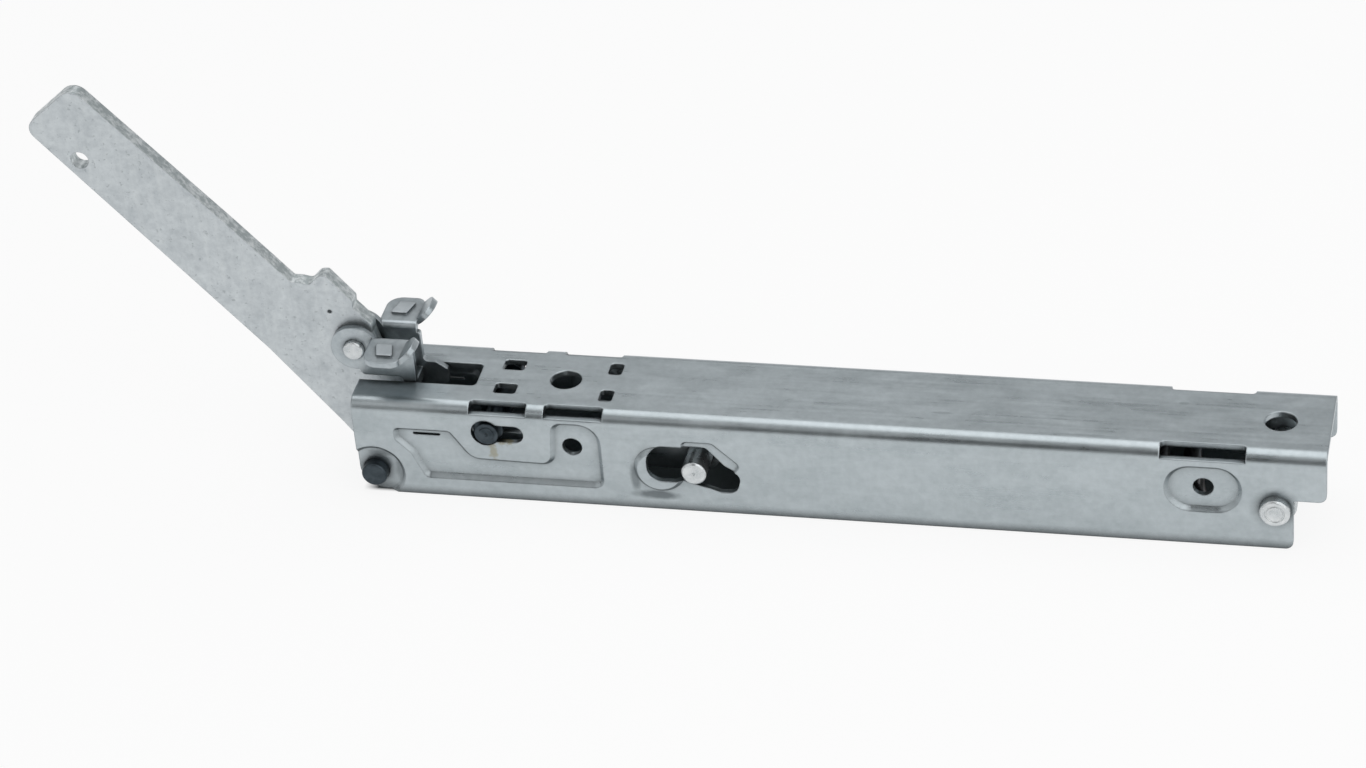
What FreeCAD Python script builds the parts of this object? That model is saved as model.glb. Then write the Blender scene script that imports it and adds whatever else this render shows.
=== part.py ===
import FreeCAD, Part
import math
import os

# Oven door hinge: a folded steel channel holds a flat hinge arm on a rivet, and a
# long tension spring inside the channel pulls on the arm through a pair of link plates.
# A sheet lock clip rides on the arm.
#
# Working axes, in millimetres: x runs from the channel's front end to its rear end,
# y across the channel from its middle plane, z up from the edges it stands on.
# The finished pieces are moved so that the front screw hole's centre, on the outer
# face of the channel's web, is the origin.

V = FreeCAD.Vector

# Channel, one folded sheet, open underneath
CHANNEL_LENGTH = 186.1
CHANNEL_WIDTH = 22.0
CHANNEL_HEIGHT = 21.05
SHEET = 1.2
BEND_RADIUS = 2.5
FRONT_CORNER_RADIUS = 5.2
REAR_STEP_HEIGHT = 11.0
REAR_STEP_LENGTH = 6.1
REAR_CORNER_RADIUS = 1.5

# Pressed areas of the channel's walls
PRESS_DEPTH = 0.9
COLLAR_HEIGHT = 0.9
RECESS_FRONT_X = 8.0
RECESS_BOTTOM_Z = 3.9
RECESS_LOBE = 5.9
SLOT_DISH_DEPTH = 0.5
SLOT_DISH_MARGIN = 1.4

# Web openings
ARM_SLOT_WIDTH = 7.3
ARM_SLOT_END = 23.2
ARM_SLOT_CORNER = 1.0
FRONT_HOLE_X = 40.25
REAR_HOLE_FROM_END = 9.45
REAR_HOLE_X = CHANNEL_LENGTH - REAR_HOLE_FROM_END
SCREW_HOLE_DIAMETER = 6.15
LOCATING_HOLE_X = 29.2
LOCATING_HOLE_LENGTH = 4.4
LOCATING_HOLE_WIDTH = 3.3
LOCATING_HOLE_Y = 3.95
SQUARE_HOLE_X = 49.15
SQUARE_HOLE_LENGTH = 2.7
SQUARE_HOLE_WIDTH = 3.7
SQUARE_HOLE_Y = 4.45
WEB_HOLE_CORNER = 0.7
BEND_SLOT_DEPTH = 1.65
BEND_SLOT_REACH = 2.7
BEND_SLOT_FRONT_START = 23.3
BEND_SLOT_FRONT_LENGTH = 11.2
BEND_SLOT_MIDDLE_START = 38.0
BEND_SLOT_MIDDLE_LENGTH = 11.5
BEND_SLOT_REAR_FROM_END = 30.8
BEND_SLOT_REAR_START = CHANNEL_LENGTH - BEND_SLOT_REAR_FROM_END
BEND_SLOT_REAR_LENGTH = 15.9
BEND_SLOT_REAR_DEPTH = 2.2

# Wall holes
WALL_HOLE_DIAMETER = 3.9
FRONT_WALL_HOLE_X = 43.0
FRONT_WALL_HOLE_DROP = 8.35
FRONT_WALL_HOLE_Z = CHANNEL_HEIGHT - FRONT_WALL_HOLE_DROP
REAR_WALL_HOLE_FROM_END = 22.8
REAR_WALL_HOLE_X = CHANNEL_LENGTH - REAR_WALL_HOLE_FROM_END
REAR_WALL_HOLE_DROP = 8.65
REAR_WALL_HOLE_Z = CHANNEL_HEIGHT - REAR_WALL_HOLE_DROP
REAR_RECESS_LENGTH = 14.5
REAR_RECESS_HEIGHT = 10.3
WALL_SLIT_X = 14.3
WALL_SLIT_Z = 13.7
WALL_SLIT_LENGTH = 5.4
WALL_SLIT_HEIGHT = 0.5

# Pivot of the arm
PIVOT_X = 3.3
PIVOT_Z = 4.5
PIVOT_RADIUS = 2.5
PIVOT_DISH_RADIUS = 6.0
PIVOT_RIVET_PROUD = 2.1
PIVOT_SPACER_RADIUS = 3.2

# Arm, a flat plate on edge that leans forward; its outline is laid out from the pivot,
# along the arm and across it
ARM_THICKNESS = 3.0
ARM_LEAN = 131.5
ARM_LENGTH = 93.8
ARM_LOWER_EDGE = 2.1
ARM_UPPER_EDGE = 12.05
ARM_HEEL_RADIUS = 4.2
HUMP_START = 20.3
HUMP_STEP = 26.4
HUMP_END = 35.1
HUMP_TOP = 19.5
HUMP_STEP_DROP = 1.1
ARM_HOLE_ALONG = 82.1
ARM_HOLE_ACROSS = 1.0
ARM_HOLE_DIAMETER = 3.6
ARM_MARK_ALONG = 28.2
ARM_MARK_ACROSS = 14.1
ARM_MARK_RADIUS = 0.4
ARM_MARK_DEPTH = 0.3

# Lock clip, its rivet and washers
CLIP_PIVOT_ALONG = 19.9
CLIP_PIVOT_ACROSS = 12.9
CLIP_RIVET_RADIUS = 2.0
CLIP_RIVET_PROUD = 1.1
CLIP_WASHER_RADIUS = 3.6
CLIP_WASHER_THICKNESS = 0.65
CLIP_SHEET = 1.2
CLIP_EYE_RADIUS = 4.7
CLIP_WING_TOP = 2.5
CLIP_WING_START = 3.6
CLIP_WING_END = 11.0
CLIP_WING_REACH = 11.2
CLIP_WING_BEND = 0.5
CLIP_PLATE_EDGE = 11.6
CLIP_PLATE_BOTTOM = 5.9
CLIP_BRIDGE_DROP = 9.6
CLIP_BRIDGE_HEIGHT = 2.4
CLIP_TAIL_END = 16.3
CLIP_TAIL_DROP = 11.0
CLIP_LIP_HEIGHT = 2.4
CLIP_LIP_LEAN = 43.0
CLIP_LIP_INNER = 4.0
CLIP_LIP_OUTER = 9.9
CLIP_LIP_CORNER = 2.5
CLIP_EMBOSS_HEIGHT = 0.45

# Crank pin on the arm, hooked by the link plates
CRANK_RADIUS = 8.1
CRANK_ANGLE = 76.0
CRANK_PIN_RADIUS = 1.6
CRANK_HEAD_RADIUS = 2.3
CRANK_HEAD_THICKNESS = 0.8
CRANK_SPACER_RADIUS = 2.6

# Link plates
LINK_THICKNESS = 1.2
LINK_OFFSET = 3.8
LINK_HOOK_CLEARANCE = 0.42
LINK_HOOK_SHIFT = 0.21
LINK_HOOK_RISE = 1.96
LINK_PRONG_WIDTH = 2.1
LINK_PRONG_DROP = 3.36
LINK_HOOK_MARGIN = 2.3
LINK_EYE_RADIUS = 3.9
LINK_RELIEF_GAP = 0.9
LINK_RELIEF_END = 41.5
LINK_HEEL_END = 13.5
LINK_NECK_X = 18.5
LINK_SHOULDER = 3.0

# Spring pin and the bent slot that guides it in both walls
SPRING_PIN_X = 66.8
SPRING_PIN_Z = 9.3
SPRING_PIN_RADIUS = 2.45
SPRING_PIN_PROUD = 1.0
SPRING_PIN_CHAMFER = 0.35
SPRING_PIN_MARK_RADIUS = 0.35
SPRING_PIN_MARK_DEPTH = 0.3
GUIDE_FRONT_X = 61.0
GUIDE_FRONT_Z = 10.6
GUIDE_FRONT_RADIUS = 3.3
GUIDE_REAR_X = 72.7
GUIDE_REAR_Z = 7.7
GUIDE_REAR_RADIUS = 3.0
GUIDE_UPPER_Z = 14.7
GUIDE_FRONT_DROP = 3.5
GUIDE_NECK_LENGTH = 8.2
COLLAR_RADIUS = 5.0
COLLAR_SHIFT = 0.9
COLLAR_DROP = 1.2
SPRING_SPACER_RADIUS = 3.4

# Anchor rivet at the rear
ANCHOR_FROM_END = 9.4
ANCHOR_X = CHANNEL_LENGTH - ANCHOR_FROM_END
ANCHOR_Z = 9.0
ANCHOR_RADIUS = 2.85
ANCHOR_PROUD = 1.8
ANCHOR_SPACER_RADIUS = 3.9

# Main spring
SPRING_DIAMETER = 15.0
SPRING_WIRE = 2.4
SPRING_TURNS = 14
SPRING_TURN_STEPS = 10
SPRING_WIRE_SIDES = 6
SPRING_HOOK_GAP = 0.2
SPRING_HOOK_SWEEP = 265.0
SPRING_HOOK_STEPS = 12
SPRING_FRONT_GAP = 7.4
SPRING_REAR_GAP = 7.8

# Follower pin in the keyhole slots
FOLLOWER_X = 26.6
FOLLOWER_DROP = 5.75
FOLLOWER_Z = CHANNEL_HEIGHT - FOLLOWER_DROP
FOLLOWER_SHANK_RADIUS = 1.8
FOLLOWER_HEAD_RADIUS = 2.3
FOLLOWER_HEAD_THICKNESS = 0.55
FOLLOWER_STEP_RADIUS = 1.5
FOLLOWER_STEP_DEPTH = 0.22
FOLLOWER_DIMPLE_RADIUS = 0.45
FOLLOWER_TRAVEL = 5.2
FOLLOWER_SLEEVE_RADIUS = 3.0
FOLLOWER_SLEEVE_HALF = 3.2
FOLLOWER_COLLAR_RADIUS = 2.9
FOLLOWER_COLLAR_WIDTH = 1.4
KEYHOLE_LOBE_RADIUS = 2.8

# Clearances between pieces that move on each other
RUNNING = 0.05
SIDE_PLAY = 0.05
SLOT_PLAY = 0.1

# Places worked out from the sizes
WALL_OUT = CHANNEL_WIDTH / 2
WALL_IN = WALL_OUT - SHEET
PRESSED_OUT = WALL_OUT - PRESS_DEPTH
PRESSED_IN = WALL_IN - PRESS_DEPTH
WEB_UNDERSIDE = CHANNEL_HEIGHT - SHEET
ARM_FACE = ARM_THICKNESS / 2
ALONG = (math.cos(math.radians(ARM_LEAN)), math.sin(math.radians(ARM_LEAN)))
CLIP_INNER = ARM_FACE + CLIP_WASHER_THICKNESS + SIDE_PLAY
CLIP_OUTER = CLIP_INNER + CLIP_SHEET
CRANK_X = PIVOT_X + CRANK_RADIUS * math.cos(math.radians(CRANK_ANGLE))
CRANK_Z = PIVOT_Z + CRANK_RADIUS * math.sin(math.radians(CRANK_ANGLE))
LINK_OUTER = LINK_OFFSET + LINK_THICKNESS
LINK_RELIEF_TOP = FOLLOWER_Z - FOLLOWER_SLEEVE_RADIUS - LINK_RELIEF_GAP
BEVEL_GROWTH = SHEET * (math.sqrt(2) - 1)


def side_point(x, z):
    return V(x, 0, z)


def arm_point(along, across):
    x = PIVOT_X + along * ALONG[0] + across * ALONG[1]
    z = PIVOT_Z + along * ALONG[1] - across * ALONG[0]
    return V(x, 0, z)


def top_point(x, y):
    return V(x, y, 0)


def end_point(y, z):
    return V(0, y, z)


def rounded_outline(corners, place):
    """Closed flat outline through (a, b, radius) corners, each rounded by an arc."""
    points = [place(a, b) for a, b, radius in corners]
    count = len(points)
    arcs = []
    for i, corner in enumerate(corners):
        back = points[i - 1] - points[i]
        ahead = points[(i + 1) % count] - points[i]
        half_angle = back.getAngle(ahead) / 2
        reach = corner[2] / math.tan(half_angle)
        reach = min(reach, 0.49 * back.Length, 0.49 * ahead.Length)
        radius = reach * math.tan(half_angle)
        back.normalize()
        ahead.normalize()
        middle = back + ahead
        if radius > 0.01 and middle.Length > 1e-6:
            middle.normalize()
            depth = radius / math.sin(half_angle) - radius
            arcs.append((points[i] + back * reach, points[i] + middle * depth, points[i] + ahead * reach))
        else:
            arcs.append((points[i], points[i], points[i]))
    edges = []
    for i, (start, middle, end) in enumerate(arcs):
        if (end - start).Length > 1e-6:
            edges.append(Part.Arc(start, middle, end).toShape())
        following = arcs[(i + 1) % count][0]
        if (following - end).Length > 1e-6:
            edges.append(Part.LineSegment(end, following).toShape())
    return Part.Face(Part.Wire(edges))


def side_plate(corners, y_low, y_high, place=side_point):
    face = rounded_outline(corners, place)
    face.translate(V(0, y_low, 0))
    return face.extrude(V(0, y_high - y_low, 0))


def upright_prism(corners, z_low, z_high):
    face = rounded_outline(corners, top_point)
    face.translate(V(0, 0, z_low))
    return face.extrude(V(0, 0, z_high - z_low))


def rod(x, z, radius, y_low, y_high):
    return Part.makeCylinder(radius, y_high - y_low, V(x, y_low, z), V(0, 1, 0))


def ring(x, z, inner, outer, y_low, y_high):
    return rod(x, z, outer, y_low, y_high).cut(rod(x, z, inner, y_low, y_high))


def turned(x, z, profile):
    """Solid turned about a cross axis: (radius, y) steps of one end, the same at the other end."""
    points = [V(0, -profile[-1][1], 0)]
    points += [V(radius, -y, 0) for radius, y in reversed(profile)]
    points += [V(radius, y, 0) for radius, y in profile]
    points.append(V(0, profile[-1][1], 0))
    points.append(points[0])
    solid = Part.Face(Part.makePolygon(points)).revolve(V(0, 0, 0), V(0, 1, 0), 360)
    solid.translate(V(x, 0, z))
    return solid


def mirrored(shape):
    return shape.mirror(V(0, 0, 0), V(0, 1, 0))


def cut_both_walls(channel, tool):
    return channel.cut(tool).cut(mirrored(tool))


def fuse_both_walls(channel, piece):
    return channel.fuse(piece).fuse(mirrored(piece))


def bevelled_slug(face, y_start, y_end, bevel):
    """Face at y_start drawn out to y_end, with its far rim bevelled."""
    face = face.copy()
    face.translate(V(0, y_start, 0))
    slug = face.extrude(V(0, y_end - y_start, 0))
    rim = [e for e in slug.Edges if abs(e.BoundBox.YMin - y_end) < 1e-6 and abs(e.BoundBox.YMax - y_end) < 1e-6]
    return slug.makeChamfer(bevel, rim)


def press_inward(channel, face, depth):
    """Both walls pressed in over the outline by the depth, the sheet's thickness kept."""
    bevel = depth * 0.95
    grown = face.makeOffset2D(BEVEL_GROWTH)
    bump = bevelled_slug(grown, -(WALL_IN + SHEET / 2), -(WALL_IN - depth), bevel)
    pocket = bevelled_slug(face, -(WALL_OUT + 1), -(WALL_OUT - depth), bevel)
    channel = fuse_both_walls(channel, bump)
    return cut_both_walls(channel, pocket)


def disc_face(x, z, radius):
    circle = Part.Circle(V(x, 0, z), V(0, 1, 0), radius)
    return Part.Face(Part.Wire([circle.toShape()]))


def front_recess_face():
    """Long pressed area below the follower's island, with a lobe round the wall hole."""
    hole_x = FRONT_WALL_HOLE_X
    hole_z = FRONT_WALL_HOLE_Z
    return rounded_outline([
        (RECESS_FRONT_X, hole_z + 2.6, 1.1),
        (FOLLOWER_X - 7.4, hole_z + 2.6, 1.5),
        (FOLLOWER_X - 3.4, FOLLOWER_Z - 6.0, 3.0),
        (FOLLOWER_X + 12.0, FOLLOWER_Z - 6.3, 2.0),
        (hole_x - 3.6, hole_z + RECESS_LOBE, 2.2),
        (hole_x + RECESS_LOBE, hole_z + RECESS_LOBE, 4.5),
        (hole_x + RECESS_LOBE, RECESS_BOTTOM_Z, 2.0),
        (RECESS_FRONT_X + 5.4, RECESS_BOTTOM_Z, 1.5),
        (RECESS_FRONT_X + 2.9, hole_z - 3.1, 2.0),
        (RECESS_FRONT_X - 0.1, hole_z - 0.1, 1.1),
    ], side_point)


def rear_recess_face():
    left = REAR_WALL_HOLE_X - REAR_RECESS_LENGTH / 2
    right = REAR_WALL_HOLE_X + REAR_RECESS_LENGTH / 2
    low = REAR_WALL_HOLE_Z - REAR_RECESS_HEIGHT / 2
    high = REAR_WALL_HOLE_Z + REAR_RECESS_HEIGHT / 2
    radius = REAR_RECESS_HEIGHT * 0.48
    return rounded_outline([(left, low, radius), (right, low, radius), (right, high, radius), (left, high, radius)], side_point)


def guide_slot_corners():
    """Bent slot for the spring pin: a wide front lobe, a neck that drops, a rear lobe."""
    front = GUIDE_FRONT_X - GUIDE_FRONT_RADIUS
    rear = GUIDE_REAR_X + GUIDE_REAR_RADIUS
    return [
        (front, GUIDE_UPPER_Z, GUIDE_FRONT_RADIUS),
        (GUIDE_FRONT_X + GUIDE_NECK_LENGTH, GUIDE_UPPER_Z, 1.5),
        (GUIDE_REAR_X - 0.1, GUIDE_REAR_Z + GUIDE_REAR_RADIUS, 2.5),
        (rear + 0.2, GUIDE_REAR_Z + 1.0, 1.9),
        (rear - 0.9, GUIDE_REAR_Z - GUIDE_REAR_RADIUS, 2.6),
        (GUIDE_REAR_X - 1.1, GUIDE_REAR_Z - GUIDE_REAR_RADIUS, 1.5),
        (GUIDE_FRONT_X + 3.4, GUIDE_FRONT_Z - GUIDE_FRONT_DROP, 2.0),
        (front, GUIDE_FRONT_Z - GUIDE_FRONT_DROP, GUIDE_FRONT_RADIUS * 0.9),
    ]


def raised_collar(channel):
    """Collar raised outward round the front of the guide slot, dying out to both sides."""
    x = GUIDE_FRONT_X - COLLAR_SHIFT
    z = GUIDE_FRONT_Z - COLLAR_DROP
    bevel = COLLAR_HEIGHT * 0.9
    outer = disc_face(x, z, COLLAR_RADIUS)
    inner = disc_face(x, z, COLLAR_RADIUS - BEVEL_GROWTH)
    bump = bevelled_slug(outer, -(WALL_OUT - SHEET / 2), -(WALL_OUT + COLLAR_HEIGHT), bevel)
    dent = bevelled_slug(inner, -(WALL_IN - 1), -(WALL_IN + COLLAR_HEIGHT), bevel)
    channel = fuse_both_walls(channel, bump)
    return cut_both_walls(channel, dent)


def u_section():
    """Channel's cross-section drawn out to its full length."""
    out = WALL_OUT
    inside = WALL_IN
    inner_bend = max(BEND_RADIUS - SHEET, 0.1)
    face = rounded_outline([
        (-out, 0, 0),
        (-out, CHANNEL_HEIGHT, BEND_RADIUS),
        (out, CHANNEL_HEIGHT, BEND_RADIUS),
        (out, 0, 0),
        (inside, 0, 0),
        (inside, WEB_UNDERSIDE, inner_bend),
        (-inside, WEB_UNDERSIDE, inner_bend),
        (-inside, 0, 0),
    ], end_point)
    return face.extrude(V(CHANNEL_LENGTH, 0, 0))


def side_silhouette():
    lower_end = CHANNEL_LENGTH - REAR_STEP_LENGTH
    return side_plate([
        (0, 0, FRONT_CORNER_RADIUS),
        (0, CHANNEL_HEIGHT + 1, 0),
        (CHANNEL_LENGTH, CHANNEL_HEIGHT + 1, 0),
        (CHANNEL_LENGTH, REAR_STEP_HEIGHT, REAR_CORNER_RADIUS),
        (lower_end, REAR_STEP_HEIGHT, 0.4),
        (lower_end, 0, REAR_CORNER_RADIUS),
    ], -CHANNEL_WIDTH, CHANNEL_WIDTH)


def box_corners(x, y, length, width, radius):
    return [
        (x - length / 2, y - width / 2, radius),
        (x + length / 2, y - width / 2, radius),
        (x + length / 2, y + width / 2, radius),
        (x - length / 2, y + width / 2, radius),
    ]


def web_openings():
    """Slot for the arm, screw holes and locating holes through the web."""
    low = WEB_UNDERSIDE - 0.5
    high = CHANNEL_HEIGHT + 1
    half = ARM_SLOT_WIDTH / 2
    tools = [upright_prism([
        (-1, -half, 0),
        (ARM_SLOT_END, -half, ARM_SLOT_CORNER),
        (ARM_SLOT_END, half, ARM_SLOT_CORNER),
        (-1, half, 0),
    ], low, high)]
    for x in (FRONT_HOLE_X, REAR_HOLE_X):
        tools.append(Part.makeCylinder(SCREW_HOLE_DIAMETER / 2, high - low, V(x, 0, low)))
    for side in (-1, 1):
        locating = box_corners(
            LOCATING_HOLE_X, side * LOCATING_HOLE_Y, LOCATING_HOLE_LENGTH, LOCATING_HOLE_WIDTH, WEB_HOLE_CORNER)
        square = box_corners(
            SQUARE_HOLE_X, side * SQUARE_HOLE_Y, SQUARE_HOLE_LENGTH, SQUARE_HOLE_WIDTH, WEB_HOLE_CORNER)
        tools.append(upright_prism(locating, low, high))
        tools.append(upright_prism(square, low, high))
    return tools


def bend_slots():
    """Slots that open both bends beside the screw holes."""
    places = [
        (BEND_SLOT_FRONT_START, BEND_SLOT_FRONT_LENGTH, BEND_SLOT_DEPTH),
        (BEND_SLOT_MIDDLE_START, BEND_SLOT_MIDDLE_LENGTH, BEND_SLOT_DEPTH),
        (BEND_SLOT_REAR_START, BEND_SLOT_REAR_LENGTH, BEND_SLOT_REAR_DEPTH),
    ]
    tools = []
    for start, length, depth in places:
        middle_y = -(WALL_OUT - BEND_SLOT_REACH / 2 + 0.5)
        corners = box_corners(start + length / 2, middle_y, length, BEND_SLOT_REACH + 1, 0.8)
        tools.append(upright_prism(corners, CHANNEL_HEIGHT - depth, CHANNEL_HEIGHT + 1))
    return tools


def wall_openings():
    """Holes through one wall: rivets, keyhole, guide slot, small holes and the slit."""
    out = -(WALL_OUT + 2)
    inside = -(PRESSED_IN - 1)
    slot_radius = FOLLOWER_SHANK_RADIUS + SLOT_PLAY
    slot_end = FOLLOWER_X + FOLLOWER_TRAVEL + SLOT_PLAY
    neck = side_plate([
        (FOLLOWER_X, FOLLOWER_Z - slot_radius, 0),
        (slot_end + slot_radius, FOLLOWER_Z - slot_radius, slot_radius * 0.99),
        (slot_end + slot_radius, FOLLOWER_Z + slot_radius, slot_radius * 0.99),
        (FOLLOWER_X, FOLLOWER_Z + slot_radius, 0),
    ], out, inside)
    slit = side_plate([
        (WALL_SLIT_X - WALL_SLIT_LENGTH / 2, WALL_SLIT_Z - WALL_SLIT_HEIGHT / 2, 0.2),
        (WALL_SLIT_X + WALL_SLIT_LENGTH / 2, WALL_SLIT_Z - WALL_SLIT_HEIGHT / 2, 0.2),
        (WALL_SLIT_X + WALL_SLIT_LENGTH / 2, WALL_SLIT_Z + WALL_SLIT_HEIGHT / 2, 0.2),
        (WALL_SLIT_X - WALL_SLIT_LENGTH / 2, WALL_SLIT_Z + WALL_SLIT_HEIGHT / 2, 0.2),
    ], out, inside)
    return [
        rod(PIVOT_X, PIVOT_Z, PIVOT_RADIUS, out, inside),
        rod(ANCHOR_X, ANCHOR_Z, ANCHOR_RADIUS, out, inside),
        rod(FRONT_WALL_HOLE_X, FRONT_WALL_HOLE_Z, WALL_HOLE_DIAMETER / 2, out, inside),
        rod(REAR_WALL_HOLE_X, REAR_WALL_HOLE_Z, WALL_HOLE_DIAMETER / 2, out, inside),
        rod(FOLLOWER_X - 0.3, FOLLOWER_Z, KEYHOLE_LOBE_RADIUS, out, inside),
        neck,
        slit,
        side_plate(guide_slot_corners(), out, inside),
    ]


def slot_dish_face():
    """Edge above the guide slot's neck, pressed in a little."""
    neck_start = GUIDE_FRONT_X + 3.5
    neck_end = GUIDE_FRONT_X + GUIDE_NECK_LENGTH
    return rounded_outline([
        (neck_start, GUIDE_UPPER_Z - 2.2, 1.0),
        (neck_start, GUIDE_UPPER_Z + SLOT_DISH_MARGIN, 1.2),
        (neck_end + SLOT_DISH_MARGIN, GUIDE_UPPER_Z + SLOT_DISH_MARGIN, 1.6),
        (GUIDE_REAR_X + 3.3, GUIDE_REAR_Z + GUIDE_REAR_RADIUS + 0.3, 1.2),
        (GUIDE_REAR_X + 1.3, GUIDE_REAR_Z + 1.0, 1.0),
        (neck_end - 1.2, GUIDE_UPPER_Z - 2.2, 1.0),
    ], side_point)


def channel():
    body = u_section()
    body = press_inward(body, disc_face(PIVOT_X, PIVOT_Z, PIVOT_DISH_RADIUS), PRESS_DEPTH)
    body = press_inward(body, front_recess_face(), PRESS_DEPTH)
    body = press_inward(body, rear_recess_face(), PRESS_DEPTH)
    body = press_inward(body, slot_dish_face(), SLOT_DISH_DEPTH)
    body = raised_collar(body)
    body = body.common(side_silhouette())
    for tool in web_openings():
        body = body.cut(tool)
    for tool in bend_slots() + wall_openings():
        body = cut_both_walls(body, tool)
    return body.removeSplitter()


def arm():
    """Flat arm with a stepped hump above the clip's rivet and a round heel at the pivot."""
    corners = [
        (0.4, -ARM_HEEL_RADIUS + 0.02, 0),
        (9.0, -3.3, 20.0),
        (30.0, -ARM_LOWER_EDGE, 30.0),
        (ARM_LENGTH, -ARM_LOWER_EDGE, 2.5),
        (ARM_LENGTH, ARM_UPPER_EDGE, 3.0),
        (53.5, ARM_UPPER_EDGE + 0.9, 60.0),
        (HUMP_END + 2.4, ARM_UPPER_EDGE + 1.0, 0.6),
        (HUMP_END + 1.4, HUMP_TOP - 5.3, 0.5),
        (HUMP_END - 0.3, HUMP_TOP - 4.0, 1.0),
        (HUMP_END, HUMP_TOP - 1.1, 1.5),
        (HUMP_END - 0.9, HUMP_TOP + 0.1, 0.6),
        (HUMP_STEP + 0.5, HUMP_TOP - 0.1, 0.7),
        (HUMP_STEP - 0.5, HUMP_TOP - HUMP_STEP_DROP, 0.5),
        (HUMP_START + 0.7, HUMP_TOP - HUMP_STEP_DROP, 0.6),
        (HUMP_START - 0.7, HUMP_TOP - 2.4, 0.6),
        (CLIP_PIVOT_ALONG - 4.0, CLIP_PIVOT_ACROSS + 2.3, 1.0),
        (8.3, CLIP_PIVOT_ACROSS + 2.6, 1.2),
        (1.0, 8.6, 3.0),
        (-ARM_HEEL_RADIUS * 0.76, ARM_HEEL_RADIUS * 0.645, 0),
    ]
    body = side_plate(corners, -ARM_FACE, ARM_FACE, arm_point)
    body = body.fuse(rod(PIVOT_X, PIVOT_Z, ARM_HEEL_RADIUS, -ARM_FACE, ARM_FACE))
    clip = arm_point(CLIP_PIVOT_ALONG, CLIP_PIVOT_ACROSS)
    hole = arm_point(ARM_HOLE_ALONG, ARM_HOLE_ACROSS)
    mark = arm_point(ARM_MARK_ALONG, ARM_MARK_ACROSS)
    body = body.cut(rod(PIVOT_X, PIVOT_Z, PIVOT_RADIUS + RUNNING, -ARM_FACE, ARM_FACE))
    body = body.cut(rod(clip.x, clip.z, CLIP_RIVET_RADIUS, -ARM_FACE, ARM_FACE))
    body = body.cut(rod(CRANK_X, CRANK_Z, CRANK_PIN_RADIUS, -ARM_FACE, ARM_FACE))
    body = body.cut(rod(hole.x, hole.z, ARM_HOLE_DIAMETER / 2, -ARM_FACE, ARM_FACE))
    body = body.cut(rod(mark.x, mark.z, ARM_MARK_RADIUS, -ARM_FACE, ARM_MARK_DEPTH - ARM_FACE))
    return body.removeSplitter()


def clip_lip(pivot):
    """Rounded tab at the rear end of the near wing, turned up for a finger or a screwdriver."""
    lean = math.radians(CLIP_LIP_LEAN)
    top = CLIP_WING_TOP
    rise_x = math.cos(lean) * CLIP_LIP_HEIGHT / math.sin(lean)
    step_x = CLIP_SHEET * math.sin(lean)
    step_z = CLIP_SHEET * math.cos(lean)
    bend_shift = CLIP_SHEET * math.tan(lean / 2)
    inner = CLIP_WING_END - 0.3
    corners = [
        (inner - 2.0, top, 0),
        (inner, top, CLIP_WING_BEND),
        (inner + rise_x, top + CLIP_LIP_HEIGHT, 0),
        (inner + rise_x + step_x, top + CLIP_LIP_HEIGHT - step_z, 0),
        (inner + bend_shift, top - CLIP_SHEET, CLIP_WING_BEND + CLIP_SHEET),
        (inner - 2.0, top - CLIP_SHEET, 0),
    ]
    tab = side_plate(corners, -CLIP_LIP_OUTER, -CLIP_LIP_INNER)
    corner_height = top + CLIP_LIP_HEIGHT - step_z - 0.01
    end_edges = [e for e in tab.Edges if e.BoundBox.ZMin > corner_height and e.BoundBox.YLength < 1e-6]
    tab = tab.makeFillet(CLIP_LIP_CORNER, end_edges)
    tab.translate(pivot)
    return tab


def clip_wing(pivot):
    """Flat wing folded out from the near plate, with a raised slanted pad on it."""
    top = CLIP_WING_TOP
    low = top - CLIP_SHEET
    reach = CLIP_WING_REACH
    section = rounded_outline([
        (-CLIP_INNER, top, CLIP_WING_BEND + CLIP_SHEET),
        (-CLIP_INNER, low - 1.2, 0),
        (-CLIP_OUTER, low - 1.2, 0),
        (-CLIP_OUTER, low, CLIP_WING_BEND),
        (-reach, low, 0),
        (-reach, top, 0),
    ], end_point)
    section.translate(V(CLIP_WING_START, 0, 0))
    wing = section.extrude(V(CLIP_WING_END - CLIP_WING_START, 0, 0))
    trim = upright_prism([
        (CLIP_WING_START, 1, 0),
        (CLIP_WING_END, 1, 0),
        (CLIP_WING_END, -reach, 2.0),
        (CLIP_WING_START, -reach, 3.0),
    ], low - 2, top + 1)
    pad_face = rounded_outline([
        (CLIP_WING_START + 1.6, -CLIP_OUTER - 2.0, 0.4),
        (CLIP_WING_END - 2.6, -CLIP_OUTER - 2.0, 0.4),
        (CLIP_WING_END - 1.6, -reach + 2.0, 0.4),
        (CLIP_WING_START + 2.6, -reach + 2.0, 0.4),
    ], top_point)
    pad_face.translate(V(0, 0, top - 0.1))
    pad = pad_face.extrude(V(0, 0, CLIP_EMBOSS_HEIGHT + 0.1))
    wing = wing.common(trim).fuse(pad)
    wing.translate(pivot)
    return wing


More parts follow.
